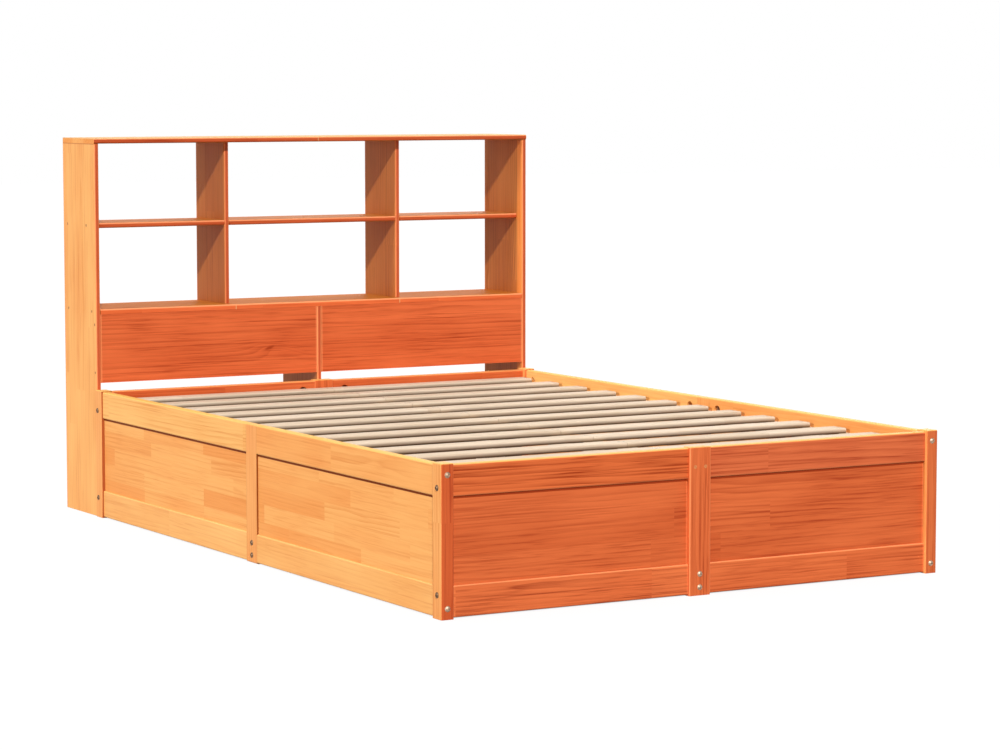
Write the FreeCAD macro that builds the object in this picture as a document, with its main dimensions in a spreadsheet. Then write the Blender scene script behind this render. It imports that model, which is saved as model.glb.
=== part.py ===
import FreeCAD, Part
import os
import re

# A pine bed for a 140 x 200 cm mattress, with an open bookcase as its headboard.
# Millimetres, +Z up, foot end towards -Y, head end towards +Y, origin on the floor under the middle.

SIZES = {
    # bed frame, over the outer faces of the corner posts
    "frame_width": 1460,
    "frame_length": 2075,
    "post_width": 34,
    "post_depth": 44,
    "post_height": 371,
    "post_round": 3,
    "foot_rail_inset": 21,
    "head_rail_inset": 16,
    "mid_post_width": 62,
    "mid_post_setback": 2,
    "mid_post_rise": 2,
    # rails, all of one stock, and the panels in their grooves
    "rail_thickness": 25,
    "rail_height": 76.5,
    "rail_lift": 2.5,
    "rail_drop": 4,
    "rail_round": 4,
    "panel_thickness": 16,
    "groove_depth": 8,
    "groove_play": 0.4,
    # bookcase headboard
    "case_depth": 235,
    "case_height": 1100,
    "board_thickness": 15,
    "board_round": 5,
    "board_seam": 0.6,
    "lower_shelf_top": 605,
    "middle_shelf_top": 854,
    "shelf_setback": 35,
    "shelf_seam_offset": 276,
    "divider_offset": 288,
    "front_panel_height": 200,
    "front_panel_setback": 1,
    # slats and what carries them
    "slat_width": 60,
    "slat_thickness": 14,
    "slat_round": 5,
    "slat_pitch": 164,
    "slat_drop": 21,
    "slat_head_gap": 9.5,
    "slat_end_gap": 8,
    "slat_seam": 1,
    "cleat_width": 36,
    "cleat_height": 30,
    "beam_width": 60,
    "beam_thickness": 24,
    "centre_post_width": 60,
    # bolts, and the barrel nuts that they screw into
    "bolt_diameter": 6,
    "bolt_head_diameter": 15,
    "bolt_head_height": 4,
    "bolt_socket": 4,
    "bolt_socket_depth": 2.4,
    "bolt_clearance": 0.3,
    "bolt_tail": 8,
    "bolt_sink": 5,
    "side_bolt_inset": 23.5,
    "end_bolt_inset": 55,
    "stretcher_bolt_low": 18,
    "stretcher_bolt_high": 51,
    "nut_diameter": 10,
    "nut_length": 18,
    "nut_offset": 39,
    "nut_slot_width": 1.4,
    "nut_slot_depth": 1.6,
    # studs through the mid posts, each end with a half-moon washer and a nut in a wide bore
    "stud_inset": 31,
    "centre_stud_spread": 25,
    "moon_bore": 28,
    "moon_seat": 6,
    "moon_height": 12,
    "stud_nut_across": 10,
    "stud_nut_height": 5,
    # countersunk screws
    "screw_clearance": 0.2,
    "slat_screw_diameter": 3.5,
    "slat_screw_head": 7,
    "slat_screw_length": 32,
    "slat_screw_inset": 8,
    "beam_screw_diameter": 5,
    "beam_screw_head": 9,
    "beam_screw_length": 60,
    "beam_screw_spread": 30,
    "case_screw_diameter": 5,
    "case_screw_head": 8,
    "case_screw_length": 50,
    "case_screw_inset": 30,
}

# Faces, mid planes and lengths that follow from the sizes.
LINES = {
    "foot_face": "-(frame_length + case_depth - bolt_head_height) / 2",
    "head_face": "foot_face + frame_length",
    "mid_length": "foot_face + frame_length / 2",
    "foot_post_y": "foot_face + post_depth / 2",
    "head_post_y": "head_face - post_depth / 2",
    "foot_line": "foot_face + foot_rail_inset",
    "head_line": "head_face - head_rail_inset",
    "side_line": "frame_width / 2 - post_width / 2",
    "side_inner": "side_line - rail_thickness / 2",
    "case_half": "side_line + rail_thickness / 2",
    "foot_inner": "foot_line + rail_thickness / 2",
    "head_inner": "head_line - rail_thickness / 2",
    "foot_mid_face": "foot_face + mid_post_setback",
    "head_mid_face": "head_face",
    "foot_mid_depth": "foot_inner - foot_mid_face",
    "head_mid_depth": "head_mid_face - head_inner",
    "rail_top": "post_height - rail_drop",
    "mid_post_height": "rail_top + mid_post_rise",
    "upper_rail_z": "rail_top - rail_height / 2",
    "lower_rail_z": "rail_lift + rail_height / 2",
    "side_rail_length": "frame_length / 2 - post_depth - mid_post_width / 2",
    "end_rail_length": "frame_width / 2 - post_width - mid_post_width / 2",
    "panel_opening": "rail_top - rail_lift - 2 * rail_height",
    "panel_height": "panel_opening + 2 * groove_depth - 2 * groove_play",
    "panel_z": "(upper_rail_z + lower_rail_z) / 2",
    "groove_width": "panel_thickness + 2 * groove_play",
    "slat_top": "rail_top - slat_drop",
    "slat_seat": "slat_top - slat_thickness",
    "slat_end": "frame_width / 2 - post_width - slat_end_gap",
    "head_slat": "head_inner - slat_head_gap - slat_width / 2",
    "cleat_line": "side_inner - cleat_width / 2",
    "cleat_length": "frame_length / 2 - post_depth",
    "beam_z": "slat_seat - beam_thickness / 2",
    "foot_beam": "mid_length - foot_inner",
    "head_beam": "head_inner - mid_length",
    "centre_post_height": "slat_seat - beam_thickness",
    "foot_stretcher": "foot_beam - centre_post_width / 2",
    "head_stretcher": "head_beam - centre_post_width / 2",
    "cross_stretcher": "side_inner - centre_post_width / 2",
    "case_back": "head_face + case_depth",
    "case_inner": "case_half - board_thickness",
    "lower_shelf_z": "lower_shelf_top - board_thickness / 2",
    "lower_shelf_under": "lower_shelf_top - board_thickness",
    "middle_shelf_z": "middle_shelf_top - board_thickness / 2",
    "shelf_front": "head_face + shelf_setback",
    "shelf_depth": "case_depth - shelf_setback",
    "side_board_height": "case_height - board_thickness",
    "divider_height": "side_board_height - lower_shelf_top",
    "front_panel_y": "head_face + front_panel_setback + board_thickness / 2",
    "bolt_hole": "bolt_diameter / 2 + bolt_clearance",
    "nut_bore": "nut_diameter / 2 + bolt_clearance",
    "dome_radius": "(bolt_head_diameter ^ 2 / 4 + bolt_head_height ^ 2) / (2 * bolt_head_height)",
    "upper_stud_z": "rail_top - stud_inset",
    "lower_stud_z": "rail_lift + (stretcher_bolt_low + stretcher_bolt_high) / 2",
}

AXES = {
    "+x": FreeCAD.Vector(1, 0, 0),
    "-x": FreeCAD.Vector(-1, 0, 0),
    "+y": FreeCAD.Vector(0, 1, 0),
    "-y": FreeCAD.Vector(0, -1, 0),
    "+z": FreeCAD.Vector(0, 0, 1),
    "-z": FreeCAD.Vector(0, 0, -1),
}
OPPOSITE = {"+": "-", "-": "+"}
SIDES = {"left": "-", "right": "+"}

doc = FreeCAD.newDocument("wooden_bed")
sheet = doc.addObject("Spreadsheet::Sheet", "Sizes")
for row, (size_name, value) in enumerate(SIZES.items(), start=1):
    sheet.set(f"A{row}", size_name)
    sheet.set(f"B{row}", str(value))
    sheet.setAlias(f"B{row}", size_name)
doc.recompute()

nodes = []
centres = {}


def formula(text):
    """The text as an expression, with lines worked out and sizes taken from the sheet."""
    def point_at(match):
        word = match.group(0)
        if word in LINES:
            return "(" + formula(LINES[word]) + ")"
        return "Sizes." + word if word in SIZES else word
    return re.sub(r"[a-z_]+", point_at, text)


def bind(thing, **values):
    for prop, text in values.items():
        thing.setExpression(prop, formula(text))


def bind_place(thing, place, turn=None):
    if turn:
        thing.Placement = FreeCAD.Placement(FreeCAD.Vector(), turn)
    for axis, text in zip("xyz", place):
        thing.setExpression(f"Placement.Base.{axis}", formula(text))


def turn_to(direction):
    """The turn that lays the local +Z axis along a direction."""
    return FreeCAD.Rotation(AXES["+z"], AXES[direction])


def new_body(name):
    body = doc.addObject("PartDesign::Body", name)
    body.Label = name
    return body


def edges_of(box, wanted):
    """Names of the box edges that the wanted rule picks by direction and middle point."""
    picked = []
    for number, edge in enumerate(box.Shape.Edges, start=1):
        run = edge.Vertexes[1].Point - edge.Vertexes[0].Point
        direction = max("xyz", key=lambda axis: abs(getattr(run, axis)))
        if wanted(direction, edge.CenterOfMass):
            picked.append(f"Edge{number}")
    return picked


def board(name, size, centre, rounding=None, wanted=None):
    """A piece of wood about its own centre, with the wanted edges rounded."""
    body = new_body(name)
    box = body.newObject("PartDesign::AdditiveBox", name + "_blank")
    bind(box, Length=size[0], Width=size[1], Height=size[2])
    bind_place(box, [f"-({extent}) / 2" for extent in size])
    bind_place(body, centre)
    centres[name] = centre
    if rounding:
        box.recompute()
        fillet = body.newObject("PartDesign::Fillet", name + "_edges")
        fillet.Base = (box, edges_of(box, wanted))
        bind(fillet, Radius=rounding)
    return body


def local(body, place):
    return [f"({at}) - ({middle})" for at, middle in zip(place, centres[body.Name])]


def drill(body, start, direction, radius, depth):
    hole = body.newObject("PartDesign::SubtractiveCylinder", body.Name + "_hole")
    bind(hole, Radius=radius, Height=depth)
    bind_place(hole, local(body, start), turn_to(direction))


def group(name, members):
    """Several separate solids under one node."""
    bundle = doc.addObject("Part::Compound", name)
    bundle.Label = name
    bundle.Links = members
    nodes.append(bundle)


def copy_of(master, place, turn=None):
    twin = doc.addObject("App::Link", master.Name + "_copy")
    twin.LinkedObject = master
    twin.LinkTransform = True
    bind_place(twin, place, turn)
    return twin


def along(axis):
    return lambda direction, middle: direction == axis


def upright_or_top(direction, middle):
    return direction == "z" or middle.z > 0


def front_upright(direction, middle):
    return direction == "z" and middle.y < 0


def front_long(direction, middle):
    return direction == "x" and middle.y < 0


def front_top(direction, middle):
    return front_long(direction, middle) and middle.z > 0


# Corner posts, and the mid posts that split each rail into halves.
posts = {}
for end in ("foot", "head"):
    for side, sign in SIDES.items():
        posts[end, side] = board(
            f"{end}_post_{side}",
            ("post_width", "post_depth", "post_height"),
            (f"{sign}side_line", f"{end}_post_y", "post_height / 2"),
            "post_round", upright_or_top)

mid_posts = {}
for end, inward in (("foot", "+"), ("head", "-")):
    mid_posts[end] = board(
        f"{end}_mid_post",
        ("mid_post_width", f"{end}_mid_depth", "mid_post_height"),
        ("0", f"{end}_mid_face {inward} {end}_mid_depth / 2", "mid_post_height / 2"),
        "post_round", upright_or_top)
for side, sign in SIDES.items():
    mid_posts[side] = board(
        f"side_mid_post_{side}",
        ("rail_thickness", "mid_post_width", "rail_top"),
        (f"{sign}side_line", "mid_length", "rail_top / 2"),
        "rail_round", along("y"))
nodes += list(posts.values()) + list(mid_posts.values())

# Rails: the long edges are rounded, and the inner edge is grooved where a panel sits.
rails = {}
for level in ("upper", "lower"):
    for side, sign in SIDES.items():
        for end, inward in (("foot", "+"), ("head", "-")):
            rails[level, side, end] = board(
                f"side_{level}_rail_{side}_{end}",
                ("rail_thickness", "side_rail_length", "rail_height"),
                (f"{sign}side_line", f"{end}_face {inward} (post_depth + side_rail_length / 2)",
                 f"{level}_rail_z"),
                "rail_round", along("y"))
    for end in ("foot", "head"):
        for side, sign in SIDES.items():
            rails[level, end, side] = board(
                f"{end}_{level}_rail_{side}",
                ("end_rail_length", "rail_thickness", "rail_height"),
                (f"{sign}(mid_post_width / 2 + end_rail_length / 2)", f"{end}_line", f"{level}_rail_z"),
                "rail_round", along("x"))
nodes += [rail for rail in rails.values() if not rail.Name.startswith("head")]
group("head_rails", [rail for rail in rails.values() if rail.Name.startswith("head")])


def groove(rail, size, level):
    """A slot for a panel along the underside of an upper rail or the top of a lower one."""
    inner_edge = "-rail_height / 2" if level == "upper" else "rail_height / 2 - groove_depth"
    slot = rail.newObject("PartDesign::SubtractiveBox", rail.Name + "_groove")
    bind(slot, Length=size[0], Width=size[1], Height="groove_depth")
    bind_place(slot, (f"-({size[0]}) / 2", f"-({size[1]}) / 2", inner_edge))


for level in ("upper", "lower"):
    for side in SIDES:
        for end in ("foot", "head"):
            groove(rails[level, side, end], ("groove_width", "side_rail_length"), level)
            groove(rails[level, end, side], ("end_rail_length", "groove_width"), level)

# Panels: thin boards whose edges stand in the grooves.
end_panels = {"foot": [], "head": []}
for side, sign in SIDES.items():
    for end, inward in (("foot", "+"), ("head", "-")):
        nodes.append(board(
            f"side_panel_{side}_{end}",
            ("panel_thickness", "side_rail_length - 2 * groove_play", "panel_height"),
            (f"{sign}side_line", f"{end}_face {inward} (post_depth + side_rail_length / 2)", "panel_z")))
        end_panels[end].append(board(
            f"{end}_panel_{side}",
            ("end_rail_length - 2 * groove_play", "panel_thickness", "panel_height"),
            (f"{sign}(mid_post_width / 2 + end_rail_length / 2)", f"{end}_line", "panel_z")))
nodes += end_panels["foot"]
group("head_panels", end_panels["head"])

# Bookcase: the sides stand on the floor behind the head posts and carry the top.
case_sides = {}
front_panels = {}
for side, sign in SIDES.items():
    case_sides[side] = board(
        f"bookcase_side_{side}",
        ("board_thickness", "case_depth", "side_board_height"),
        (f"{sign}(case_half - board_thickness / 2)", "head_face + case_depth / 2", "side_board_height / 2"),
        "board_round", front_upright)
    front_panels[side] = board(
        f"front_panel_{side}",
        ("case_inner - board_thickness / 2", "board_thickness", "front_panel_height"),
        (f"{sign}(case_inner + board_thickness / 2) / 2", "front_panel_y",
         "lower_shelf_under - front_panel_height / 2"))
    nodes.append(board(
        f"divider_{side}",
        ("board_thickness", "shelf_depth", "divider_height"),
        (f"{sign}divider_offset", "shelf_front + shelf_depth / 2", "lower_shelf_top + divider_height / 2"),
        "board_round", front_upright))
nodes += list(case_sides.values()) + list(front_panels.values())
nodes.append(board(
    "centre_partition",
    ("board_thickness", "case_depth", "lower_shelf_under"),
    ("0", "head_face + case_depth / 2", "lower_shelf_under / 2"),
    "board_round", front_upright))

group("bookcase_top", [
    board(
        f"top_board_{side}",
        ("case_half - board_seam / 2", "case_depth", "board_thickness"),
        (f"{sign}(case_half + board_seam / 2) / 2", "head_face + case_depth / 2",
         "case_height - board_thickness / 2"),
        "board_round", front_long)
    for side, sign in SIDES.items()])

lower_shelf = {"middle": board(
    "lower_shelf_middle",
    ("2 * shelf_seam_offset - board_seam", "case_depth", "board_thickness"),
    ("0", "head_face + case_depth / 2", "lower_shelf_z"),
    "board_round", front_top)}
middle_shelf = {"middle": board(
    "middle_shelf_middle",
    ("2 * divider_offset - board_thickness", "shelf_depth", "board_thickness"),
    ("0", "shelf_front + shelf_depth / 2", "middle_shelf_z"),
    "board_round", front_long)}
for side, sign in SIDES.items():
    lower_shelf[side] = board(
        f"lower_shelf_{side}",
        ("case_inner - shelf_seam_offset - board_seam / 2", "case_depth", "board_thickness"),
        (f"{sign}(case_inner + shelf_seam_offset + board_seam / 2) / 2", "head_face + case_depth / 2",
         "lower_shelf_z"),
        "board_round", front_top)
    middle_shelf[side] = board(
        f"middle_shelf_{side}",
        ("case_inner - divider_offset - board_thickness / 2", "shelf_depth", "board_thickness"),
        (f"{sign}(case_inner + divider_offset + board_thickness / 2) / 2", "shelf_front + shelf_depth / 2",
         "middle_shelf_z"),
        "board_round", front_long)
group("lower_shelf", list(lower_shelf.values()))
group("middle_shelf", list(middle_shelf.values()))

# Slat supports: cleats on the side rails, a flat beam down the middle on a post, floor stretchers.
cleats = {}
beams = {}
stretchers = {}
for end, inward in (("foot", "+"), ("head", "-")):
    outward = OPPOSITE[inward]
    for side, sign in SIDES.items():
        cleats[side, end] = board(
            f"cleat_{side}_{end}",
            ("cleat_width", "cleat_length", "cleat_height"),
            (f"{sign}cleat_line", f"mid_length {outward} cleat_length / 2", "slat_seat - cleat_height / 2"))
    beams[end] = board(
        f"beam_{end}",
        ("beam_width", f"{end}_beam", "beam_thickness"),
        ("0", f"mid_length {outward} {end}_beam / 2", "beam_z"))
    stretchers[end] = board(
        f"stretcher_{end}",
        ("rail_thickness", f"{end}_stretcher", "rail_height"),
        ("0", f"mid_length {outward} (centre_post_width / 2 + {end}_stretcher / 2)", "lower_rail_z"),
        "rail_round", along("y"))
for side, sign in SIDES.items():
    stretchers[side] = board(
        f"stretcher_{side}",
        ("cross_stretcher", "rail_thickness", "rail_height"),
        (f"{sign}(centre_post_width / 2 + cross_stretcher / 2)", "mid_length", "lower_rail_z"),
        "rail_round", along("x"))
centre_post = board(
    "centre_post",
    ("centre_post_width", "centre_post_width", "centre_post_height"),
    ("0", "mid_length", "centre_post_height / 2"),
    "post_round", along("z"))
nodes.append(centre_post)
group("slat_cleats", list(cleats.values()))
group("centre_beam", list(beams.values()))
group("floor_stretchers", list(stretchers.values()))


def countersunk_screw(name):
    """A screw along -Z with the flat of its head at the origin."""
    body = new_body(name)
    shank = body.newObject("PartDesign::AdditiveCylinder", name + "_shank")
    bind(shank, Radius=f"{name}_diameter / 2", Height=f"{name}_length")
    bind_place(shank, ("0", "0", f"-{name}_length"))
    flare = body.newObject("PartDesign::AdditiveCone", name + "_flare")
    bind(flare, Radius1=f"{name}_diameter / 2", Radius2=f"{name}_head / 2",
         Height=f"({name}_head - {name}_diameter) / 2")
    bind_place(flare, ("0", "0", f"({name}_diameter - {name}_head) / 2"))
    return body


def screw_hole(body, name, start, direction, with_head):
    shank_hole = f"{name}_diameter / 2 + screw_clearance"
    drill(body, start, direction, shank_hole, f"{name}_length + screw_clearance")
    if with_head:
        sink = body.newObject("PartDesign::SubtractiveCone", body.Name + "_sink")
        bind(sink, Radius1=f"{name}_head / 2 + screw_clearance", Radius2=shank_hole,
             Height=f"({name}_head - {name}_diameter) / 2")
        bind_place(sink, local(body, start), turn_to(direction))


def reverse(direction):
    return OPPOSITE[direction[0]] + direction[1]


# Slats: one half slat, drilled for its two screws, laid out in rows to both sides of the centre line.
half_slat = board(
    "half_slat",
    ("slat_end - slat_seam / 2", "slat_width", "slat_thickness"),
    ("(slat_end + slat_seam / 2) / 2", "0", "-slat_thickness / 2"),
    "slat_round", along("x"))
slat_screw = countersunk_screw("slat_screw")
screw_lines = ("slat_screw_inset", "cleat_line")
for line in screw_lines:
    screw_hole(half_slat, "slat_screw", (line, "0", "0"), "-z", True)

slat_room = sheet.frame_length - sheet.post_depth - sheet.rail_thickness - sheet.slat_head_gap
slat_rows = int((slat_room - sheet.slat_width) // sheet.slat_pitch) + 1
half_turn = FreeCAD.Rotation(AXES["+z"], 180)
slat_screws = []
for row in range(slat_rows):
    row_y = f"head_slat - {row} * slat_pitch"
    group(f"slat_{row + 1:02d}", [
        copy_of(half_slat, ("0", row_y, "slat_top"), half_turn),
        copy_of(half_slat, ("0", row_y, "slat_top")),
    ])
    for sign in SIDES.values():
        for line in screw_lines:
            slat_screws.append(copy_of(slat_screw, (f"{sign}{line}", row_y, "slat_top")))
group("slat_screws", slat_screws)


def screw_hole_row(body, x):
    """The screw holes of every slat row, from the head end towards the foot."""
    screw_hole(body, "slat_screw", (x, "head_slat", "slat_top"), "-z", False)
    first_hole = body.Group[-1]
    holes = body.newObject("PartDesign::LinearPattern", body.Name + "_hole_row")
    holes.Originals = [first_hole]
    y_axis = [item for item in body.Origin.OriginFeatures if item.Role == "Y_Axis"][0]
    holes.Direction = (y_axis, [""])
    holes.Reversed = True
    holes.Occurrences = slat_rows
    bind(holes, Length=f"{slat_rows - 1} * slat_pitch")
    body.Tip = holes


for sign, side in (("-", "left"), ("+", "right")):
    for end in ("foot", "head"):
        screw_hole_row(cleats[side, end], f"{sign}cleat_line")
        screw_hole_row(beams[end], f"{sign}slat_screw_inset")

# Beam screws: two through each end mid post into the beam, one through each half into the centre post.
beam_screw = countersunk_screw("beam_screw")
beam_screws = []
for end, inward in (("foot", "+y"), ("head", "-y")):
    for sign in SIDES.values():
        start = (f"{sign}beam_screw_spread / 2", f"{end}_mid_face", "beam_z")
        beam_screws.append(copy_of(beam_screw, start, turn_to(reverse(inward))))
        screw_hole(mid_posts[end], "beam_screw", start, inward, True)
        screw_hole(beams[end], "beam_screw", start, inward, False)
    start = ("0", f"mid_length {OPPOSITE[inward[0]]} centre_post_width / 4", "slat_seat")
    beam_screws.append(copy_of(beam_screw, start))
    screw_hole(beams[end], "beam_screw", start, "-z", True)
    screw_hole(centre_post, "beam_screw", start, "-z", False)
group("beam_screws", beam_screws)

# Bookcase screws, through the sides into the ends of the shelves and of the front panels.
case_screw = countersunk_screw("case_screw")
case_screws = []
for side, sign in SIDES.items():
    inward = OPPOSITE[sign] + "x"
    screw_places = (
        (middle_shelf[side], "shelf_front + case_screw_inset", "middle_shelf_z"),
        (middle_shelf[side], "case_back - case_screw_inset", "middle_shelf_z"),
        (lower_shelf[side], "head_face + case_screw_inset", "lower_shelf_z"),
        (lower_shelf[side], "case_back - case_screw_inset", "lower_shelf_z"),
        (front_panels[side], "front_panel_y", "lower_shelf_under - case_screw_inset"),
        (front_panels[side], "front_panel_y", "lower_shelf_under - front_panel_height + case_screw_inset"),
    )
    for held, y, z in screw_places:
        start = (f"{sign}case_half", y, z)
        case_screws.append(copy_of(case_screw, start, turn_to(reverse(inward))))
        screw_hole(case_sides[side], "case_screw", start, inward, True)
        screw_hole(held, "case_screw", start, inward, False)
group("bookcase_screws", case_screws)


def dome_bolt(name, length):
    """A bolt along -Z with a domed head and a hex socket; the head bears at the origin."""
    body = new_body(name)
    dome = body.newObject("PartDesign::AdditiveSphere", name + "_dome")
    bind(dome, Radius="dome_radius", Angle1="asin((dome_radius - bolt_head_height) / dome_radius)")
    bind_place(dome, ("0", "0", "bolt_head_height - dome_radius"))
    shank = body.newObject("PartDesign::AdditiveCylinder", name + "_shank")
    bind(shank, Radius="bolt_diameter / 2", Height=length)
    bind_place(shank, ("0", "0", f"-({length})"))
    socket = body.newObject("PartDesign::SubtractivePrism", name + "_socket")
    bind(socket, Circumradius="bolt_socket / sqrt(3)", Height="bolt_socket_depth")
    bind_place(socket, ("0", "0", "bolt_head_height - bolt_socket_depth"))
    return body


def stud(name, length):
    """A plain threaded rod along Z about its own middle."""
    body = new_body(name)
    rod = body.newObject("PartDesign::AdditiveCylinder", name + "_rod")
    bind(rod, Radius="bolt_diameter / 2", Height=length)
    bind_place(rod, ("0", "0", f"-({length}) / 2"))
    return body


# Barrel nut: a steel cylinder along Z, cross drilled along X, slotted at its upper end.
barrel_nut = new_body("barrel_nut")
barrel = barrel_nut.newObject("PartDesign::AdditiveCylinder", "barrel")
bind(barrel, Radius="nut_diameter / 2", Height="nut_length")
bind_place(barrel, ("0", "0", "-nut_length / 2"))
thread = barrel_nut.newObject("PartDesign::SubtractiveCylinder", "barrel_thread")
bind(thread, Radius="bolt_hole", Height="nut_diameter")
bind_place(thread, ("-nut_diameter / 2", "0", "0"), turn_to("+x"))
slot = barrel_nut.newObject("PartDesign::SubtractiveBox", "barrel_slot")
bind(slot, Length="nut_diameter", Width="nut_slot_width", Height="nut_slot_depth")
bind_place(slot, ("-nut_diameter / 2", "-nut_slot_width / 2", "nut_length / 2 - nut_slot_depth"))

# Half-moon washer: a segment of a disc for the wall of a wide bore, drilled along X for the stud.
moon_washer = new_body("moon_washer")
disc = moon_washer.newObject("PartDesign::AdditiveCylinder", "moon_disc")
bind(disc, Radius="moon_bore / 2 - bolt_clearance", Height="moon_height")
bind_place(disc, ("0", "0", "-moon_height / 2"))
flat = moon_washer.newObject("PartDesign::SubtractiveBox", "moon_flat")
bind(flat, Length="moon_bore / 2 + moon_seat", Width="moon_bore", Height="moon_height")
bind_place(flat, ("-moon_seat", "-moon_bore / 2", "-moon_height / 2"))
stud_way = moon_washer.newObject("PartDesign::SubtractiveCylinder", "moon_stud_way")
bind(stud_way, Radius="bolt_hole", Height="moon_bore / 2")
bind_place(stud_way, ("-moon_bore / 2", "0", "0"), turn_to("+x"))

# Stud nut: a hexagon along X that bears on the flat of the washer.
stud_nut = new_body("stud_nut")
hexagon = stud_nut.newObject("PartDesign::AdditivePrism", "stud_nut_hexagon")
bind(hexagon, Circumradius="stud_nut_across / sqrt(3)", Height="stud_nut_height")
bind_place(hexagon, ("-moon_seat", "0", "0"), turn_to("+x"))
nut_thread = stud_nut.newObject("PartDesign::SubtractiveCylinder", "stud_nut_thread")
bind(nut_thread, Radius="bolt_hole", Height="stud_nut_height")
bind_place(nut_thread, ("-moon_seat", "0", "0"), turn_to("+x"))

frame_bolts = []
rail_studs = []
barrel_nuts = []


def shifted(place, direction, distance):
    moved = list(place)
    index = "xyz".index(direction[1])
    moved[index] = f"({place[index]}) {direction[0]} ({distance})"
    return moved


def bore_in(rail, centre, bolt_direction, mouth, radius, half_length):
    """A bore through the bolt's line that opens towards the mouth direction, and its hardware's turn."""
    face = shifted(centre, mouth, "rail_thickness / 2")
    drill(rail, face, reverse(mouth), radius, f"rail_thickness / 2 + {half_length} + bolt_clearance")
    return FreeCAD.Rotation(AXES[bolt_direction], FreeCAD.Vector(), AXES[mouth], "ZXY")


def bolt_joint(master, post, rail, start, inward, mouth, through, sunk=False):
    """A bolt through a post into a barrel nut in the end of a rail; a sunk head lies in a counterbore."""
    seat = shifted(start, inward, "bolt_sink") if sunk else start
    reach = f"{through} + nut_offset + bolt_tail + bolt_clearance"
    for piece in (post, rail):
        drill(piece, start, inward, "bolt_hole", reach)
    if sunk:
        drill(post, start, inward, "bolt_head_diameter / 2 + bolt_clearance", "bolt_sink")
    frame_bolts.append(copy_of(master, seat, turn_to(reverse(inward))))
    centre = shifted(start, inward, f"{through} + nut_offset")
    turn = bore_in(rail, centre, inward, mouth, "nut_bore", "nut_length / 2")
    barrel_nuts.append(copy_of(barrel_nut, centre, turn))


def stud_joint(master, post, pair, centre, axis, mouth, through):
    """A stud through a post that draws the two pieces on either side against it."""
    reach = f"{through} / 2 + nut_offset + bolt_tail + bolt_clearance"
    for piece in (post, *pair):
        drill(piece, shifted(centre, "-" + axis, reach), "+" + axis, "bolt_hole", f"2 * ({reach})")
    rail_studs.append(copy_of(master, centre, turn_to("+" + axis)))
    for piece, sign in zip(pair, "-+"):
        bore = shifted(centre, sign + axis, f"{through} / 2 + nut_offset")
        turn = bore_in(piece, bore, sign + axis, mouth, "moon_bore / 2", "moon_height / 2")
        for hardware in (moon_washer, stud_nut):
            rail_studs.append(copy_of(hardware, bore, turn))


grip = "nut_offset + bolt_tail"
corner_side_bolt = dome_bolt("corner_side_bolt", f"post_depth + {grip}")
corner_side_bolt_sunk = dome_bolt("corner_side_bolt_sunk", f"post_depth - bolt_sink + {grip}")
corner_end_bolt = dome_bolt("corner_end_bolt", f"post_width + {grip}")
foot_stretcher_bolt = dome_bolt("foot_stretcher_bolt", f"foot_mid_depth + {grip}")
head_stretcher_bolt = dome_bolt("head_stretcher_bolt", f"head_mid_depth - bolt_sink + {grip}")
side_stretcher_bolt = dome_bolt("side_stretcher_bolt", f"rail_thickness + {grip}")
rail_stud = stud("rail_stud", f"mid_post_width + 2 * ({grip})")
centre_stud = stud("centre_stud", f"centre_post_width + 2 * ({grip})")

for level, edge, inwards in (("upper", "rail_top", "-"), ("lower", "rail_lift", "+")):
    stud_z = f"{level}_stud_z"
    for end, inward in (("foot", "+y"), ("head", "-y")):
        at_head = end == "head"
        for side, sign in SIDES.items():
            to_middle = OPPOSITE[sign] + "x"
            bolt_joint(corner_side_bolt_sunk if at_head else corner_side_bolt,
                       posts[end, side], rails[level, side, end],
                       (f"{sign}side_line", f"{end}_face", f"{edge} {inwards} side_bolt_inset"),
                       inward, to_middle, "post_depth", sunk=at_head)
            bolt_joint(corner_end_bolt, posts[end, side], rails[level, end, side],
                       (f"{sign}frame_width / 2", f"{end}_line", f"{edge} {inwards} end_bolt_inset"),
                       to_middle, inward, "post_width")
        stud_joint(rail_stud, mid_posts[end], [rails[level, end, side] for side in SIDES],
                   ("0", f"{end}_line", stud_z), "x", inward, "mid_post_width")
    for side, sign in SIDES.items():
        stud_joint(rail_stud, mid_posts[side], [rails[level, side, end] for end in ("foot", "head")],
                   (f"{sign}side_line", "mid_length", stud_z), "y", OPPOSITE[sign] + "x", "mid_post_width")

for bolt_height in ("stretcher_bolt_low", "stretcher_bolt_high"):
    z = f"rail_lift + {bolt_height}"
    bolt_joint(foot_stretcher_bolt, mid_posts["foot"], stretchers["foot"],
               ("0", "foot_mid_face", z), "+y", "+x", "foot_mid_depth")
    bolt_joint(head_stretcher_bolt, mid_posts["head"], stretchers["head"],
               ("0", "head_mid_face", z), "-y", "+x", "head_mid_depth", sunk=True)
    for side, sign in SIDES.items():
        bolt_joint(side_stretcher_bolt, mid_posts[side], stretchers[side],
                   (f"{sign}case_half", "mid_length", z), OPPOSITE[sign] + "x", "+y", "rail_thickness")

stud_joint(centre_stud, centre_post, [stretchers["foot"], stretchers["head"]],
           ("0", "mid_length", "lower_rail_z - centre_stud_spread / 2"), "y", "+x", "centre_post_width")
stud_joint(centre_stud, centre_post, [stretchers["left"], stretchers["right"]],
           ("0", "mid_length", "lower_rail_z + centre_stud_spread / 2"), "x", "+y", "centre_post_width")

group("frame_bolts", frame_bolts)
group("rail_studs", rail_studs)
group("barrel_nuts", barrel_nuts)

doc.recompute()
for thing in doc.Objects:
    if "Invalid" in thing.State or "Error" in thing.State:
        raise RuntimeError(f"{thing.Name} failed: {thing.State}")
for node in nodes:
    if node.Shape.isNull() or not node.Shape.isValid():
        raise RuntimeError(f"{node.Label} has no valid shape")

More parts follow.
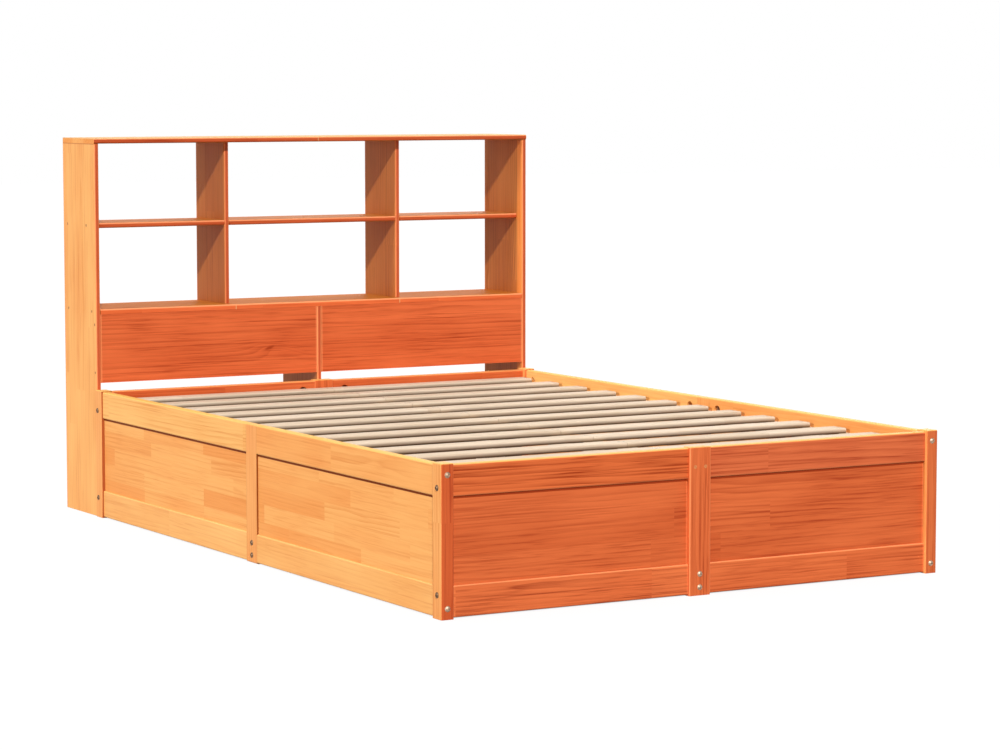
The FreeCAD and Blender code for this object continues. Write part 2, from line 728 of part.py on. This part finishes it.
os.makedirs("parts", exist_ok=True)
for node in nodes:
    node.Shape.exportStep(f"parts/{node.Label}.step")
print(len(nodes), "nodes,", sum(len(node.Shape.Solids) for node in nodes), "solids")
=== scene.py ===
import math

import bmesh
import bpy
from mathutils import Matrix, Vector


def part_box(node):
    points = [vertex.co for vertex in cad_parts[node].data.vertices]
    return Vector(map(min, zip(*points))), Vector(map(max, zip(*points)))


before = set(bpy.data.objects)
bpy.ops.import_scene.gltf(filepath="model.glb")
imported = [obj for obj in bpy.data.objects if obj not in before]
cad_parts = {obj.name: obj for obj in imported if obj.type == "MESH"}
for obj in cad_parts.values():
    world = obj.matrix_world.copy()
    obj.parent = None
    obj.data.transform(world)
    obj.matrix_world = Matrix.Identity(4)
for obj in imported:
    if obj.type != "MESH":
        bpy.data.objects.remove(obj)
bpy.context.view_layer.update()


# Corner posts: four square pine uprights, planed on all sides, with their long edges rounded over.
# They are stained like the rest of the frame, and bolts through them pull the rails up tight.
# The pine's figure is worked out here as growth rings round a heart line that lies outside the board.

class Wire:
    """One socket of a finish. A sum on it adds the nodes that work it out."""

    def __init__(self, tree, socket):
        self.tree = tree
        self.socket = socket

    def node(self, kind, settings, sockets, out=0):
        made = self.tree.nodes.new(kind)
        for name, value in settings.items():
            setattr(made, name, value)
        for key, value in sockets.items():
            if isinstance(value, Wire):
                self.tree.links.new(value.socket, made.inputs[key])
            else:
                made.inputs[key].default_value = value
        return Wire(self.tree, made.outputs[out])

    def maths(self, operation, *terms):
        return self.node("ShaderNodeMath", {"operation": operation}, dict(enumerate(terms)))

    def __add__(self, other):
        return self.maths("ADD", self, other)

    def __radd__(self, other):
        return self.maths("ADD", other, self)

    def __sub__(self, other):
        return self.maths("SUBTRACT", self, other)

    def __rsub__(self, other):
        return self.maths("SUBTRACT", other, self)

    def __mul__(self, other):
        return self.maths("MULTIPLY", self, other)

    def __rmul__(self, other):
        return self.maths("MULTIPLY", other, self)

    def __truediv__(self, other):
        return self.maths("DIVIDE", self, other)

    def __pow__(self, power):
        return self.maths("POWER", self, power)

    def __abs__(self):
        return self.maths("ABSOLUTE", self)

    def floor(self):
        return self.maths("FLOOR", self)

    def fraction(self):
        return self.maths("FRACT", self)

    def above(self, level):
        return self.maths("GREATER_THAN", self, level)

    def larger(self, other):
        return self.maths("MAXIMUM", self, other)

    def bell(self):
        return self.maths("EXPONENT", 0 - self * self)

    def fade(self, start, end):
        return self.node("ShaderNodeMapRange", {"interpolation_type": "SMOOTHSTEP"},
                         {"Value": self, "From Min": start, "From Max": end})

    def blend(self, bare, full):
        return self.node("ShaderNodeMix", {"data_type": "RGBA"}, {0: self, 6: bare, 7: full}, out=2)

    def xyz(self):
        split = self.node("ShaderNodeSeparateXYZ", {}, {"Vector": self})
        return [Wire(self.tree, split.socket.node.outputs[axis]) for axis in range(3)]

    def cloud(self, x, y, z, detail=1.0):
        spot = self.node("ShaderNodeCombineXYZ", {}, {"X": x, "Y": y, "Z": z})
        return self.node("ShaderNodeTexNoise", {}, {"Vector": spot, "Scale": 1.0, "Detail": detail})

    def chance(self, x, y, z):
        spot = self.node("ShaderNodeCombineXYZ", {}, {"X": x, "Y": y, "Z": z})
        noise = self.node("ShaderNodeTexWhiteNoise", {"noise_dimensions": "3D"}, {"Vector": spot}, out=1)
        return noise.xyz()


def new_finish(name):
    finish = bpy.data.materials.new(name)
    finish.use_nodes = True
    tree = finish.node_tree
    shader = tree.nodes["Principled BSDF"]
    place = Wire(tree, tree.nodes.new("ShaderNodeTexCoord").outputs["Object"])
    return finish, shader, place


def feed(shader, name, wire):
    wire.tree.links.new(wire.socket, shader.inputs[name])


def dress(node, finish):
    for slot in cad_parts[node].material_slots:
        slot.material = finish


def shade(red, green, blue):
    def linear(level):
        level = level / 255
        return level / 12.92 if level <= 0.04045 else ((level + 0.055) / 1.055) ** 2.4
    return linear(red), linear(green), linear(blue), 1.0


def pine_figure(place, node, along, across, seed, seams=(), strip=0.0, block=0.5, ring=0.009,
                rounding=0.004, wrap=0.4, knot=None):
    low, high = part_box(node)
    axis = {"x": 0, "y": 1, "z": 2}
    thick = ({"x", "y", "z"} - {along, across}).pop()
    spot = dict(zip("xyz", place.xyz()))
    half = {name: (high[axis[name]] - low[axis[name]]) / 2 for name in axis}
    middle = {name: (high[axis[name]] + low[axis[name]]) / 2 for name in axis}
    run = spot[along] - middle[along]
    width = spot[across] - middle[across]
    depth = spot[thick] - middle[thick]

    # boards that share a node part at the seams, and a glued-up board has strips of staggered blocks
    board, butt = seed, 0.0
    for name, value in seams:
        board = spot[name].above(value) * 7.0 + board
        butt = 1 - abs(spot[name] - value).fade(0.0008, 0.0020) + butt
    if strip:
        rank = (width / strip + 20.5).floor()
        offset = width - (rank - 20.0) * strip
    else:
        rank, offset = 1.0, width
    stagger = place.chance(rank, board, 3.7)[0]
    count = (run / block + stagger + 40.0).floor()
    first, second, third = place.chance(rank, count, board)

    # the heart line lies well outside the board and leans a little, so that the rings run along the face
    bend = place.cloud(run * 1.3 + first * 40, width * 4 + second * 40, depth * 4 + third * 40, 2.0)
    ripple = place.cloud(run * 7 + second * 30, width * 30 + third * 30, depth * 30)
    sideways = offset + (first - 0.5) * 0.17 + run * (second - 0.5) * 0.07
    below = depth + third * 0.05 + 0.02
    radius = (sideways * sideways + below * below) ** 0.5
    rings = (radius + (bend - 0.5) * 0.03 + (ripple - 0.5) * 0.006) / ring
    if knot:
        beside, above = spot[along] - knot[0], spot[across] - knot[1]
        rings = rings + ((beside - 0.03) / 0.09).bell() * ((above + beside * 0.2) / 0.024).bell() * 2.2
        core = (beside / 0.012).bell() * ((above - beside * 0.3) / 0.0036).bell()
    else:
        core = 0.0
    growth = rings.fraction()
    late = growth ** 2 * (1 - growth.fade(0.86, 1.0))
    strength = place.cloud(run * 2.6 + 9.0 + first * 20, width * 14 + seed, depth * 14).fade(0.35, 0.7)
    strength = strength * (0.35 + second * second * 1.1)
    streak = place.cloud(run * 2.2 + seed, width * 160 + second * 9, depth * 160, 2.0).fade(0.5, 0.74)
    fibre = place.cloud(run * 17, width * 480, depth * 480)
    blotch = place.cloud(run * 3.0 + seed, width * 8, depth * 8, 2.0)
    dash = place.cloud(run * 9 + seed, width * 250, depth * 250, 2.0).fade(0.5, 0.7)
    dash = dash * (1 - blotch.fade(0.42, 0.62))

    # where on the board a point lies: its rounded edges, narrow faces, sawn ends, top and underside
    rim_width = half[across] - abs(width)
    rim_depth = half[thick] - abs(depth)
    rim = rim_width.larger(rim_depth)
    corner = 1 - (rim + (fibre - 0.5) * 0.0012).fade(rounding * 0.35, rounding * 1.1)
    # only the upper rounded edges of a lying board keep the corner mask: a painted highlight of light from
    # above
    if "z" in (across, thick):
        corner = corner * spot["z"].fade(middle["z"] - 0.003, middle["z"] + 0.003)
    return {"late": late * (0.25 + strength * 0.75) + core * 2.0, "streak": streak + dash * 0.8,
            "fibre": fibre, "blotch": blotch, "block": third * 0.7 + first * 0.3,
            "corner": corner, "butt": butt,
            "narrow": 1 - rim_width.fade(rounding * wrap * 0.2, rounding * wrap),
            "left": 1 - depth.fade(-0.0005, 0.0005), "right": depth.fade(-0.0005, 0.0005),
            "front": 1 - (width + half[across]).fade(0.026, 0.034),
            "sawn": 1 - (half[along] - abs(run)).fade(0.0003, 0.0012),
            "top": spot["z"].fade(high[2] - 0.0032, high[2] - 0.0004),
            "under": 1 - spot["z"].fade(low[2] + 0.0008, low[2] + 0.0044),
            "tips": 1 - (half[along] - abs(run)).fade(0.002, 0.005),
            "tucked": spot["z"].fade(high[2] - 0.0142, high[2] - 0.0124),
            "seat": spot["z"].fade(high[2] - 0.0036, high[2] - 0.0018)}


def coat(figure, stain, blocks, grain):
    tone = figure["blotch"] * (1 - blocks) + figure["block"] * blocks
    ground = tone.fade(0.25, 0.75).blend(stain["deep"], stain["light"])
    lines = figure["late"] * grain + figure["streak"] * (grain * 0.7)
    grained = lines.blend(ground, stain["line"])
    return ((1 - figure["fibre"]) * 0.25).blend(grained, stain["line"])


def stained_pine(node, along, across, seed, stain, faces=(), blocks=0.3, grain=0.6, gloss=0.2, top=0.0,
                 edge=0.5, under=0.0, butt=0.0, ends=0.45, tips=0.0, tucked=0.0, seat=0.0, **cut):
    finish, shader, place = new_finish(node + "_stained_pine")
    figure = pine_figure(place, node, along, across, seed, **cut)
    colour = coat(figure, stain, blocks, grain)
    for mask, other in faces:
        colour = figure[mask].blend(colour, coat(figure, other, blocks, grain))
    # pale rounded edges and lower edges: wear and a painted highlight
    if edge:
        colour = (figure["corner"] * edge).blend(colour, stain["wear_and_sheen"])
    if under:
        colour = (figure["under"] * under).blend(colour, stain["wear_and_sheen"])
    if butt:
        colour = (figure["butt"] * figure["narrow"] * butt).blend(colour, stain["rubbed_and_highlit"])
    if ends:
        colour = (figure["sawn"] * ends).blend(colour, stain["line"])
    # pale board ends: wear and a painted highlight
    if tips:
        colour = (figure["tips"] * tips).blend(colour, stain["wear_and_sheen"])
    # a pale top face: a painted highlight of light from above
    if top:
        rubbed_and_highlit = top - figure["late"] * 0.3 - figure["streak"] * 0.15
        colour = (figure["top"] * rubbed_and_highlit).blend(colour, stain["rubbed_and_highlit"])
    if seat:
        colour = (figure["seat"] * seat).blend(colour, stain["line"])
    # a dark band at the top of a panel: a painted shadow under the rail
    if tucked:
        colour = (figure["tucked"] * tucked).blend(colour, stain["painted_shadow"])
    feed(shader, "Base Color", colour)
    feed(shader, "Roughness", 0.56 - gloss * 0.3 + figure["late"] * 0.1 + (figure["fibre"] - 0.5) * 0.12)
    height = figure["fibre"] * 0.5 - figure["late"] * 0.6
    feed(shader, "Normal", place.node("ShaderNodeBump", {}, {"Strength": 0.25, "Distance": 0.0006,
                                                             "Height": height}))
    shader.inputs["Specular IOR Level"].default_value = gloss
    dress(node, finish)


# The honey colour of side faces and side boards is a paler stain with painted light from the left. The last
# colours of each set are a pale edge colour (wear and a painted highlight), a pale top colour (a painted
# highlight) and a dark band colour (a painted shadow).
red_stain = {
    "light": shade(229, 114, 60), "deep": shade(210, 96, 46), "line": shade(166, 60, 20),
    "wear_and_sheen": shade(244, 146, 92), "rubbed_and_highlit": shade(232, 178, 96), "painted_shadow": shade(150, 48, 0),
}
lit_honey_stain = {
    "light": shade(242, 177, 105), "deep": shade(233, 154, 84), "line": shade(208, 122, 56),
    "wear_and_sheen": shade(244, 190, 118), "rubbed_and_highlit": shade(230, 178, 92), "painted_shadow": shade(114, 40, 0),
}
dark_post = dict(red_stain, light=shade(219, 102, 50), deep=shade(203, 87, 40), line=shade(164, 56, 20))
dull_post = dict(red_stain, light=shade(184, 99, 50), deep=shade(170, 85, 40), line=shade(140, 58, 22))
light_post = dict(red_stain, light=shade(226, 120, 65), deep=shade(211, 104, 53), line=shade(180, 74, 32))
# The side faces of the posts take the honey colour, painted light from the left, and their tops a painted
# highlight.
for number, (end, side, stain) in enumerate((("foot", "left", dark_post), ("foot", "right", light_post),
                                             ("head", "left", dull_post), ("head", "right", light_post))):
    stained_pine("%s_post_%s" % (end, side), "z", "x", 11.3 + number, stain, block=2.0,
                 faces=[("narrow", lit_honey_stain)], top=0.95, grain=0.9, edge=0.0, rounding=0.0032)


# Mid posts: one upright in the middle of the foot, of the head and of each side, between the half rails.
# The side ones are as thin as the rails; bolts and studs through them carry the stretchers and rails.
pale_red = dict(red_stain, light=shade(236, 122, 66), deep=shade(222, 106, 54))
for number, name in enumerate(("foot_mid_post", "head_mid_post")):
    stained_pine(name, "z", "x", 21.7 + number, pale_red, block=2.0, grain=0.95, top=0.8, edge=0.7,
                 rounding=0.0032)
# The narrow faces of the side mid posts, in the recess beside the panels, are painted dark: a painted shade.
shaded_side_stain = dict(lit_honey_stain, light=shade(142, 66, 14), deep=shade(132, 58, 10), line=shade(112, 46, 6))
for number, name in enumerate(("side_mid_post_left", "side_mid_post_right")):
    stained_pine(name, "z", "y", 25.1 + number, lit_honey_stain, faces=[("narrow", shaded_side_stain)], block=2.0,
                 top=0.9, edge=0.2, rounding=0.002)


# Rails: planed pine boards on edge, finger-jointed from shorter lengths, grooved for the panels.
# The foot and head rails took the stain redder than the sides, whose paler honey is partly painted light
# from the left. The pale tops and lower edges of the upper ones are a painted highlight.
bold_grain = dict(red_stain, light=shade(238, 122, 66), deep=shade(221, 105, 53), line=shade(148, 46, 10))
bold_pale = dict(pale_red, light=shade(245, 130, 72), deep=shade(231, 114, 60), line=shade(146, 46, 10))
rosy_stain = dict(red_stain, light=shade(229, 118, 70), deep=shade(210, 100, 58), line=shade(168, 66, 34))
pale_honey = dict(lit_honey_stain, light=shade(243, 188, 113), deep=shade(236, 169, 95))
foot_rail_stains = {"left": (bold_grain, bold_pale), "right": (rosy_stain, pale_red)}
side_rail_stains = {"foot": lit_honey_stain, "head": pale_honey}
for number, side in enumerate(("left", "right")):
    upper, lower = foot_rail_stains[side]
    stained_pine("foot_upper_rail_" + side, "x", "z", 31.2 + number, upper, block=3.0, blocks=0.1,
                 grain=1.0, gloss=0.1, top=0.95, ring=0.015, under=0.6)
    stained_pine("foot_lower_rail_" + side, "x", "z", 35.9 + number, lower, block=0.55, blocks=0.4,
                 grain=0.75, edge=0.9, ends=0.0, tips=0.3)
    for end_number, end in enumerate(("foot", "head")):
        rail_number = number * 2 + end_number
        where = side + "_" + end
        stained_pine("side_upper_rail_" + where, "y", "z", 41.4 + rail_number, side_rail_stains[end],
                     block=0.9, gloss=0.1, top=0.95, grain=0.45, under=0.6)
        stained_pine("side_lower_rail_" + where, "y", "z", 47.6 + rail_number, pale_honey, block=0.8,
                     grain=0.45, edge=0.25)
upper_from_lower = 0.18
stained_pine("head_rails", "x", "z", 53.8, red_stain, seams=[("x", 0.0), ("z", upper_from_lower)], block=0.6,
             top=0.5)


# Panels: thin boards glued up edge to edge from short finger-jointed pine blocks, each with its own tone.
# They stand loose in the grooves of the rails, so that the wood can move.
# The dark band at the top of each panel is a painted shadow under the upper rail.
for number, side in enumerate(("left", "right")):
    stained_pine("foot_panel_" + side, "x", "z", 61.5 + number, red_stain, strip=0.074, block=0.75,
                 blocks=0.3, grain=0.75, ring=0.012, ends=0.0, tips=0.4, tucked=0.95)
    for end_number, end in enumerate(("foot", "head")):
        stained_pine("side_panel_%s_%s" % (side, end), "y", "z", 65.3 + number * 2 + end_number,
                     lit_honey_stain, strip=0.047, block=0.4, blocks=0.55, grain=0.45, gloss=0.08, tucked=0.97)
# The inner face of the head panels is painted dark: a painted shade.
shaded_inner_stain = {"light": shade(96, 56, 32), "deep": shade(84, 46, 26), "line": shade(64, 34, 18)}
stained_pine("head_panels", "x", "z", 69.7, red_stain, faces=[("left", shaded_inner_stain)],
             seams=[("x", 0.0)], strip=0.074, block=1.3, blocks=0.2, grain=0.75, ring=0.012, tucked=0.95)


# Under frame: raw pine stretchers near the floor from the mid posts to a short centre post, a flat beam
# in two halves on top of it, and cleats glued inside the side rails. Together they carry the slats.
def raw_colour(figure):
    pale, deep, line = shade(222, 204, 182), shade(208, 188, 164), shade(176, 150, 120)
    ground = (figure["blotch"] * 0.5 + figure["block"] * 0.5).fade(0.25, 0.75).blend(deep, pale)
    grained = (figure["late"] * 0.5 + figure["streak"] * 0.45).blend(ground, line)
    return ((1 - figure["fibre"]) * 0.25).blend(grained, line)


def raw_pine(node, along, across, seed, turned=False, lower_shade=0.0, **cut):
    finish, shader, place = new_finish(node + "_raw_pine")
    figure = pine_figure(place, node, along, across, seed, **cut)
    colour = raw_colour(figure)
    if turned:
        lengthways = 1 - abs(place.xyz()[0]).fade(0.029, 0.031)
        colour = lengthways.blend(colour, raw_colour(pine_figure(place, node, "y", "z", seed, **cut)))
    # the narrow faces are painted darker towards the bottom: a painted shade
    if lower_shade:
        low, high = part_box(node)
        sunk = 1 - place.xyz()[2].fade(low[2] + 0.001, high[2] - 0.002)
        colour = (figure["narrow"] * sunk * lower_shade).blend(colour, shade(112, 88, 64))
    feed(shader, "Base Color", (figure["sawn"] * 0.4).blend(colour, shade(158, 134, 106)))
    feed(shader, "Roughness", 0.7 + figure["late"] * 0.1 + (figure["fibre"] - 0.5) * 0.15)
    height = figure["fibre"] * 0.6 - figure["late"] * 0.5
    feed(shader, "Normal", place.node("ShaderNodeBump", {}, {"Strength": 0.3, "Distance": 0.0006,
                                                             "Height": height}))
    shader.inputs["Specular IOR Level"].default_value = 0.12
    dress(node, finish)


mid_length = -0.1155
raw_pine("centre_post", "z", "x", 71.1, block=2.0)
raw_pine("centre_beam", "y", "x", 72.6, seams=[("y", mid_length)], block=2.0)
raw_pine("floor_stretchers", "x", "z", 73.4, turned=True, seams=[("x", 0.0), ("y", mid_length)], block=2.0)
raw_pine("slat_cleats", "y", "z", 74.9, seams=[("y", mid_length), ("x", 0.0)], block=2.0)


# Slats: twelve rows of planed raw pine with rounded edges, each row two half slats that meet on the beam.
# They lie flat on the cleats and the beam, and a screw near each end holds them down.
slat_rows = 12
for row in range(1, slat_rows + 1):
    raw_pine("slat_%02d" % row, "x", "y", 80.3 + row * 1.7, seams=[("x", 0.0)], block=2.0, rounding=0.006,
             wrap=0.8, lower_shade=0.95)


# Fasteners: plated steel. Dome-head bolts with hex sockets and barrel nuts hold the frame, and studs with
# half-moon washers pass through the mid posts. The screws of the slats, beam and bookcase have dulled.
def plated_steel(node, bright, dull, side_shade=0.0):
    finish, shader, place = new_finish(node + "_steel")
    x, y, z = place.xyz()
    wear_and_sheen = place.cloud(x * 190, y * 190, z * 190, 2.0).fade(0.3, 0.7)
    fine = place.cloud(x * 1500, y * 1500, z * 1500)
    colour = wear_and_sheen.blend(bright, dull)
    # bolts in the outer side faces are painted darker: a painted shade against the lamp from the left
    if side_shade:
        colour = (abs(x).fade(0.7245, 0.7260) * side_shade).blend(colour, shade(84, 54, 28))
    feed(shader, "Base Color", colour)
    feed(shader, "Roughness", 0.4 + wear_and_sheen * 0.14 + (fine - 0.5) * 0.08)
    feed(shader, "Normal", place.node("ShaderNodeBump", {}, {"Strength": 0.1, "Distance": 0.0002,
                                                             "Height": fine}))
    shader.inputs["Metallic"].default_value = 1.0
    dress(node, finish)


for name in ("frame_bolts", "rail_studs", "barrel_nuts"):
    plated_steel(name, shade(198, 172, 148), shade(146, 122, 100), side_shade=0.8)
plated_steel("slat_screws", shade(168, 156, 140), shade(130, 116, 100))
plated_steel("beam_screws", shade(226, 150, 98), shade(206, 130, 80))
plated_steel("bookcase_screws", shade(190, 124, 66), shade(156, 96, 48))


# Bookcase sides, dividers and partition: upright pine boards glued up from staves, front edges rounded.
# Screws through the sides hold the shelves; the dividers and the partition stand between them.
# Their inside faces take a browner colour, a painted shade; the outer faces and a strip along the front take
# lighter colours, painted light from the left.
shaded_case_stain = {
    "light": shade(218, 135, 62), "deep": shade(203, 117, 48), "line": shade(170, 88, 32),
    "wear_and_sheen": shade(244, 150, 94),
}
lit_fore_stain = {"light": shade(250, 158, 74), "deep": shade(244, 148, 66), "line": shade(214, 112, 44)}
edge_stain = {"light": shade(212, 98, 54), "deep": shade(196, 84, 44), "line": shade(160, 58, 26)}
lit_outer_stain = dict(lit_honey_stain, light=shade(243, 182, 106), deep=shade(235, 162, 88))
for number, side in enumerate(("left", "right")):
    stained_pine("bookcase_side_" + side, "z", "y", 101.2 + number, shaded_case_stain,
                 faces=[("front", lit_fore_stain), (side, lit_outer_stain), ("narrow", edge_stain)], strip=0.06,
                 block=0.8, edge=0.7, seat=0.6, rounding=0.005)
    stained_pine("divider_" + side, "z", "y", 104.8 + number, shaded_case_stain, faces=[("narrow", edge_stain)],
                 strip=0.07, block=0.9, edge=0.7, rounding=0.005)
stained_pine("centre_partition", "z", "y", 107.5, shaded_case_stain, faces=[("narrow", edge_stain)], strip=0.07,
             block=0.9, edge=1.0, rounding=0.005)


# Bookcase top and shelves: pine boards that butt end to end, each shelf in three lengths and the top
# in two, with their front edges rounded over. The shelves rest on screws through the uprights.
shelf_stain = {
    "light": shade(204, 128, 58), "deep": shade(190, 112, 46), "line": shade(164, 88, 32),
    "wear_and_sheen": shade(244, 156, 106), "rubbed_and_highlit": shade(226, 178, 120),
}
front_stain = {"light": shade(242, 120, 68), "deep": shade(230, 108, 58), "line": shade(196, 80, 40)}
lower_stain = dict(shelf_stain, light=shade(206, 126, 50), deep=shade(192, 110, 40))
shelf_seam = 0.276
# The sawn ends of the top take the honey colour, painted light from the left.
stained_pine("bookcase_top", "x", "y", 111.4, shelf_stain, seams=[("x", 0.0)], strip=0.08, block=0.7,
             faces=[("narrow", edge_stain), ("sawn", lit_honey_stain)], gloss=0.06, top=0.8, edge=0.5,
             butt=0.8, ends=0.0, rounding=0.005)
for number, name, stain, front, gloss in ((0, "middle_shelf", shelf_stain, edge_stain, 0.06),
                                          (1, "lower_shelf", lower_stain, front_stain, 0.03)):
    stained_pine(name, "x", "y", 112.9 + number, stain, faces=[("narrow", front)],
                 seams=[("x", -shelf_seam), ("x", shelf_seam)], strip=0.08, block=0.7, gloss=gloss,
                 edge=0.95, butt=0.8 * number, rounding=0.005)


# Front panels: two wide boards under the lower shelf that close the bookcase behind the pillows,
# glued up from finger-jointed blocks and stained red-orange. The left one has a small knot.
panel_stain = dict(red_stain, light=shade(234, 114, 62), deep=shade(218, 98, 50))
knots = {"left": (-0.167, 0.470), "right": None}
for number, side in enumerate(("left", "right")):
    stained_pine("front_panel_" + side, "x", "z", 121.6 + number, panel_stain, strip=0.1, block=1.6,
                 blocks=0.2, grain=0.75, ring=0.012, edge=0.0, ends=0.0, tips=0.6, knot=knots[side])


# Studio: a pale floor that runs out to a white surround, a lamp from the left, a higher one from the
# front, light from above and a weak fill from behind. The camera stands at the foot, to the left.
def shows(tree):
    path = tree.nodes.new("ShaderNodeLightPath")
    camera, glossy, through = (Wire(tree, path.outputs["Is %s Ray" % kind])
                               for kind in ("Camera", "Glossy", "Transmission"))
    return camera.larger(glossy).larger(through)


floor_reach = 30.0
sheet = bmesh.new()
bmesh.ops.create_grid(sheet, x_segments=2, y_segments=2, size=floor_reach)
floor_mesh = bpy.data.meshes.new("floor")
sheet.to_mesh(floor_mesh)
sheet.free()
floor = bpy.data.objects.new("floor", floor_mesh)
bpy.context.scene.collection.objects.link(floor)
paper, paper_shader, paper_place = new_finish("studio_paper")
paper_tree = paper.node_tree
floor_x, floor_y, floor_z = paper_place.xyz()
# the floor inside the bed frame is left out of the glow and painted dark grey, a painted shade, and the
# change lies hidden under the rails
under_bed = (1 - abs(floor_x).fade(0.703, 0.712)) * (1 - abs(floor_y - mid_length).fade(1.009, 1.020))
seen = shows(paper_tree) * (1 - under_bed)
paper_white, bounce_and_shade_grey = (0.9, 0.9, 0.9, 1.0), (0.22, 0.22, 0.22, 1.0)
feed(paper_shader, "Base Color", seen.blend(bounce_and_shade_grey, paper_white))
paper_shader.inputs["Roughness"].default_value = 0.9
glow = paper_tree.nodes.new("ShaderNodeEmission")
mix = paper_tree.nodes.new("ShaderNodeMixShader")
glow_share = 0.86
paper_tree.links.new((seen * glow_share).socket, mix.inputs["Fac"])
paper_tree.links.new(paper_shader.outputs["BSDF"], mix.inputs[1])
paper_tree.links.new(glow.outputs["Emission"], mix.inputs[2])
paper_tree.links.new(mix.outputs["Shader"], paper_tree.nodes["Material Output"].inputs["Surface"])
floor.data.materials.append(paper)

surround = bpy.data.worlds.new("surround")
surround.use_nodes = True
bpy.context.scene.world = surround
sky = surround.node_tree.nodes["Background"]
sky.inputs["Color"].default_value = (1.0, 1.0, 1.0, 1.0)
sky_light = 0.4
sky_level = shows(surround.node_tree) * (1 - sky_light) + sky_light
surround.node_tree.links.new(sky_level.socket, sky.inputs["Strength"])


def lamp(name, towards, level, angle):
    light = bpy.data.lights.new(name, "SUN")
    light.energy = level * math.pi
    light.angle = math.radians(angle)
    stand = bpy.data.objects.new(name, light)
    stand.rotation_euler = Vector(towards).to_track_quat("Z", "Y").to_euler()
    bpy.context.scene.collection.objects.link(stand)


lamp("left_lamp", (-0.95, -0.03, 0.30), 0.52, 5.0)
lamp("front_lamp", (-0.45, -1.0, 0.82), 0.90, 3.0)
lamp("top_lamp", (0.0, 0.12, 1.0), 0.15, 40.0)
lamp("back_fill", (0.6, 0.6, 0.5), 0.35, 40.0)

eye = bpy.data.cameras.new("camera")
eye.sensor_width = 36.0
eye.lens = 112.957
camera = bpy.data.objects.new("camera", eye)
camera.location = (-4.2644, -7.5307, 1.2522)
camera.rotation_euler = (math.radians(90.0 - 5.2685), 0.0, math.radians(-30.0762))
bpy.context.scene.collection.objects.link(camera)
bpy.context.scene.camera = camera
bpy.context.scene.view_settings.view_transform = "Standard"
